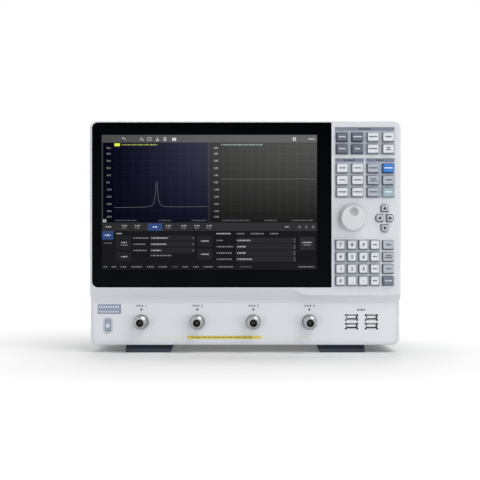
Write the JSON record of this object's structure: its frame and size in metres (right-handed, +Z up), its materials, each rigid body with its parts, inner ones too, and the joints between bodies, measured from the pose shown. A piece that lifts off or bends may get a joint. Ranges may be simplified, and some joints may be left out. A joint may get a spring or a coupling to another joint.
{
  "type": "vector network analyzer",
  "caption": "Bench vector network analyzer: wide display, keypad with tuning knob, row of threaded test ports, tilt legs and a folding carrying handle.",
  "frame": {"origin": "on the floor, under the middle of the overall width and depth", "axes": "+X to the user's right, +Y from the front into the instrument, +Z up"},
  "size_m": [0.3774, 0.234, 0.2821],
  "materials": {
    "bezel_plastic": "fine moulded texture, pale warm grey",
    "panel_plastic": "smooth satin, pale grey",
    "display_glass": "black printed cover glass, polished",
    "screen_frame": "stamped sheet, satin",
    "overlay_film": "printed film, matt grey",
    "circuit_board": "green solder mask",
    "port_steel": "turned stainless steel",
    "socket_steel": "bright nickel-plated sheet",
    "shield_metal": "milled and passivated",
    "cable_copper": "bright semi-rigid tube with gold-plated nuts",
    "cover_paint": "fine powder coat, pale grey",
    "rear_metal": "smooth paint, light grey",
    "screw_steel": "zinc-plated",
    "foot_plastic": "dark blue-grey moulding",
    "inlet_plastic": "black thermoplastic",
    "fan_plastic": "black glass-filled plastic",
    "rocker_plastic": "glossy black",
    "handle_plastic": "soft-touch dark grey",
    "knob_plastic": "off-white, smooth satin",
    "key_white": "silicone-coated white",
    "key_grey": "silicone-coated mid grey",
    "key_dark": "silicone-coated dark blue-grey",
    "key_blue": "translucent blue, lit",
    "key_teal": "translucent pale teal, lit",
    "arrow_plastic": "silicone-coated light grey",
    "button_plastic": "satin blue-grey"
  },
  "bodies": {
    "chassis": {"front_bezel": "bezel_plastic", "port_panel": "panel_plastic", "display_glass": "display_glass", "lcd_module": "screen_frame", "keypad_overlay": "overlay_film", "key_board": "circuit_board", "port_connectors": "port_steel", "usb_sockets": "socket_steel", "receiver_module": "shield_metal", "rf_cables": "cable_copper", "main_board": "circuit_board", "power_supply": "shield_metal", "top_cover": "cover_paint", "chassis_tray": "cover_paint", "rear_panel": "rear_metal", "case_screws": "screw_steel", "feet": "foot_plastic", "rear_coax": "port_steel", "mains_inlet": "inlet_plastic", "data_sockets": "socket_steel", "fan_frame": "fan_plastic"},
    "fan_rotor": {"fan_rotor": "fan_plastic"},
    "mains_rocker": {"mains_rocker": "rocker_plastic"},
    "carry_handle": {"carry_handle": "handle_plastic"},
    "leg_left": {"leg_left": "foot_plastic"},
    "leg_right": {"leg_right": "foot_plastic"},
    "tuning_knob": {"tuning_knob": "knob_plastic"},
    "power_button": {"power_button": "button_plastic"},
    "response_key_1": {"response_key_1": "key_dark"},
    "response_key_2": {"response_key_2": "key_dark"},
    "response_key_3": {"response_key_3": "key_white"},
    "response_key_4": {"response_key_4": "key_white"},
    "response_key_5": {"response_key_5": "key_dark"},
    "response_key_6": {"response_key_6": "key_dark"},
    "response_key_7": {"response_key_7": "key_white"},
    "response_key_8": {"response_key_8": "key_white"},
    "stimulus_key_1": {"stimulus_key_1": "key_white"},
    "stimulus_key_2": {"stimulus_key_2": "key_white"},
    "stimulus_key_3": {"stimulus_key_3": "key_white"},
    "stimulus_key_4": {"stimulus_key_4": "key_white"},
    "stimulus_key_5": {"stimulus_key_5": "key_white"},
    "stimulus_key_6": {"stimulus_key_6": "key_white"},
    "utility_key_1": {"utility_key_1": "key_grey"},
    "utility_key_2": {"utility_key_2": "key_blue"},
    "utility_key_3": {"utility_key_3": "key_grey"},
    "utility_key_4": {"utility_key_4": "key_grey"},
    "utility_key_5": {"utility_key_5": "key_grey"},
    "utility_key_6": {"utility_key_6": "key_teal"},
    "edit_key_1": {"edit_key_1": "key_grey"},
    "edit_key_2": {"edit_key_2": "key_grey"},
    "edit_key_3": {"edit_key_3": "key_grey"},
    "edit_key_4": {"edit_key_4": "key_dark"},
    "number_keys_row_1": {"number_keys_row_1": "key_white"},
    "number_keys_row_2": {"number_keys_row_2": "key_white"},
    "number_keys_row_3": {"number_keys_row_3": "key_white"},
    "number_keys_row_4": {"number_keys_row_4": "key_white"},
    "arrow_key_up": {"arrow_key_up": "arrow_plastic"},
    "arrow_key_right": {"arrow_key_right": "arrow_plastic"},
    "arrow_key_down": {"arrow_key_down": "arrow_plastic"},
    "arrow_key_left": {"arrow_key_left": "arrow_plastic"}
  },
  "joints": [
    {"name": "response_key_1_press", "type": "slide", "parent": "chassis", "child": "response_key_1", "axis": [0, 1, 0], "range_m": [0, 0.0012], "stiffness_N_per_m": 400, "springref_m": -0.002},
    {"name": "response_key_2_press", "type": "slide", "parent": "chassis", "child": "response_key_2", "axis": [0, 1, 0], "range_m": [0, 0.0012], "stiffness_N_per_m": 400, "springref_m": -0.002},
    {"name": "response_key_3_press", "type": "slide", "parent": "chassis", "child": "response_key_3", "axis": [0, 1, 0], "range_m": [0, 0.0012], "stiffness_N_per_m": 400, "springref_m": -0.002},
    {"name": "response_key_4_press", "type": "slide", "parent": "chassis", "child": "response_key_4", "axis": [0, 1, 0], "range_m": [0, 0.0012], "stiffness_N_per_m": 400, "springref_m": -0.002},
    {"name": "response_key_5_press", "type": "slide", "parent": "chassis", "child": "response_key_5", "axis": [0, 1, 0], "range_m": [0, 0.0012], "stiffness_N_per_m": 400, "springref_m": -0.002},
    {"name": "response_key_6_press", "type": "slide", "parent": "chassis", "child": "response_key_6", "axis": [0, 1, 0], "range_m": [0, 0.0012], "stiffness_N_per_m": 400, "springref_m": -0.002},
    {"name": "response_key_7_press", "type": "slide", "parent": "chassis", "child": "response_key_7", "axis": [0, 1, 0], "range_m": [0, 0.0012], "stiffness_N_per_m": 400, "springref_m": -0.002},
    {"name": "response_key_8_press", "type": "slide", "parent": "chassis", "child": "response_key_8", "axis": [0, 1, 0], "range_m": [0, 0.0012], "stiffness_N_per_m": 400, "springref_m": -0.002},
    {"name": "stimulus_key_1_press", "type": "slide", "parent": "chassis", "child": "stimulus_key_1", "axis": [0, 1, 0], "range_m": [0, 0.0012], "stiffness_N_per_m": 400, "springref_m": -0.002},
    {"name": "stimulus_key_2_press", "type": "slide", "parent": "chassis", "child": "stimulus_key_2", "axis": [0, 1, 0], "range_m": [0, 0.0012], "stiffness_N_per_m": 400, "springref_m": -0.002},
    {"name": "stimulus_key_3_press", "type": "slide", "parent": "chassis", "child": "stimulus_key_3", "axis": [0, 1, 0], "range_m": [0, 0.0012], "stiffness_N_per_m": 400, "springref_m": -0.002},
    {"name": "stimulus_key_4_press", "type": "slide", "parent": "chassis", "child": "stimulus_key_4", "axis": [0, 1, 0], "range_m": [0, 0.0012], "stiffness_N_per_m": 400, "springref_m": -0.002},
    {"name": "stimulus_key_5_press", "type": "slide", "parent": "chassis", "child": "stimulus_key_5", "axis": [0, 1, 0], "range_m": [0, 0.0012], "stiffness_N_per_m": 400, "springref_m": -0.002},
    {"name": "stimulus_key_6_press", "type": "slide", "parent": "chassis", "child": "stimulus_key_6", "axis": [0, 1, 0], "range_m": [0, 0.0012], "stiffness_N_per_m": 400, "springref_m": -0.002},
    {"name": "utility_key_1_press", "type": "slide", "parent": "chassis", "child": "utility_key_1", "axis": [0, 1, 0], "range_m": [0, 0.0012], "stiffness_N_per_m": 400, "springref_m": -0.002},
    {"name": "utility_key_2_press", "type": "slide", "parent": "chassis", "child": "utility_key_2", "axis": [0, 1, 0], "range_m": [0, 0.0012], "stiffness_N_per_m": 400, "springref_m": -0.002},
    {"name": "utility_key_3_press", "type": "slide", "parent": "chassis", "child": "utility_key_3", "axis": [0, 1, 0], "range_m": [0, 0.0012], "stiffness_N_per_m": 400, "springref_m": -0.002},
    {"name": "utility_key_4_press", "type": "slide", "parent": "chassis", "child": "utility_key_4", "axis": [0, 1, 0], "range_m": [0, 0.0012], "stiffness_N_per_m": 400, "springref_m": -0.002},
    {"name": "utility_key_5_press", "type": "slide", "parent": "chassis", "child": "utility_key_5", "axis": [0, 1, 0], "range_m": [0, 0.0012], "stiffness_N_per_m": 400, "springref_m": -0.002},
    {"name": "utility_key_6_press", "type": "slide", "parent": "chassis", "child": "utility_key_6", "axis": [0, 1, 0], "range_m": [0, 0.0012], "stiffness_N_per_m": 400, "springref_m": -0.002},
    {"name": "edit_key_1_press", "type": "slide", "parent": "chassis", "child": "edit_key_1", "axis": [0, 1, 0], "range_m": [0, 0.0012], "stiffness_N_per_m": 400, "springref_m": -0.002},
    {"name": "edit_key_2_press", "type": "slide", "parent": "chassis", "child": "edit_key_2", "axis": [0, 1, 0], "range_m": [0, 0.0012], "stiffness_N_per_m": 400, "springref_m": -0.002},
    {"name": "edit_key_3_press", "type": "slide", "parent": "chassis", "child": "edit_key_3", "axis": [0, 1, 0], "range_m": [0, 0.0012], "stiffness_N_per_m": 400, "springref_m": -0.002},
    {"name": "edit_key_4_press", "type": "slide", "parent": "chassis", "child": "edit_key_4", "axis": [0, 1, 0], "range_m": [0, 0.0012], "stiffness_N_per_m": 400, "springref_m": -0.002},
    {"name": "number_keys_row_1_press", "type": "slide", "parent": "chassis", "child": "number_keys_row_1", "axis": [0, 1, 0], "range_m": [0, 0.0012], "stiffness_N_per_m": 400, "springref_m": -0.002},
    {"name": "number_keys_row_2_press", "type": "slide", "parent": "chassis", "child": "number_keys_row_2", "axis": [0, 1, 0], "range_m": [0, 0.0012], "stiffness_N_per_m": 400, "springref_m": -0.002},
    {"name": "number_keys_row_3_press", "type": "slide", "parent": "chassis", "child": "number_keys_row_3", "axis": [0, 1, 0], "range_m": [0, 0.0012], "stiffness_N_per_m": 400, "springref_m": -0.002},
    {"name": "number_keys_row_4_press", "type": "slide", "parent": "chassis", "child": "number_keys_row_4", "axis": [0, 1, 0], "range_m": [0, 0.0012], "stiffness_N_per_m": 400, "springref_m": -0.002},
    {"name": "arrow_key_up_press", "type": "slide", "parent": "chassis", "child": "arrow_key_up", "axis": [0, 1, 0], "range_m": [0, 0.0012], "stiffness_N_per_m": 400, "springref_m": -0.002},
    {"name": "arrow_key_right_press", "type": "slide", "parent": "chassis", "child": "arrow_key_right", "axis": [0, 1, 0], "range_m": [0, 0.0012], "stiffness_N_per_m": 400, "springref_m": -0.002},
    {"name": "arrow_key_down_press", "type": "slide", "parent": "chassis", "child": "arrow_key_down", "axis": [0, 1, 0], "range_m": [0, 0.0012], "stiffness_N_per_m": 400, "springref_m": -0.002},
    {"name": "arrow_key_left_press", "type": "slide", "parent": "chassis", "child": "arrow_key_left", "axis": [0, 1, 0], "range_m": [0, 0.0012], "stiffness_N_per_m": 400, "springref_m": -0.002},
    {"name": "power_button_press", "type": "slide", "parent": "chassis", "child": "power_button", "axis": [0, 1, 0], "range_m": [0, 0.0012], "stiffness_N_per_m": 400, "springref_m": -0.002},
    {"name": "tuning_knob_turn", "type": "hinge", "parent": "chassis", "child": "tuning_knob", "pos_m": [0.1289, -0.095, 0.164], "axis": [0, -1, 0], "continuous": true},
    {"name": "fan_spin", "type": "hinge", "parent": "chassis", "child": "fan_rotor", "pos_m": [-0.1047, 0.0744, 0.1693], "axis": [0, 1, 0], "continuous": true},
    {"name": "carry_handle_raise", "type": "hinge", "parent": "chassis", "child": "carry_handle", "pos_m": [0, -0.019, 0.2726], "axis": [1, 0, 0], "range_deg": [0, 90]},
    {"name": "leg_left_swing", "type": "hinge", "parent": "chassis", "child": "leg_left", "pos_m": [-0.11725, -0.045, 0.006], "axis": [-1, 0, 0], "range_deg": [0, 100]},
    {"name": "leg_right_swing", "type": "hinge", "parent": "chassis", "child": "leg_right", "pos_m": [0.11725, -0.045, 0.006], "axis": [-1, 0, 0], "range_deg": [0, 100]},
    {"name": "mains_rocker_tip", "type": "hinge", "parent": "chassis", "child": "mains_rocker", "pos_m": [0.1367, 0.098, 0.0704], "axis": [1, 0, 0], "range_deg": [0, 16]}
  ]
}
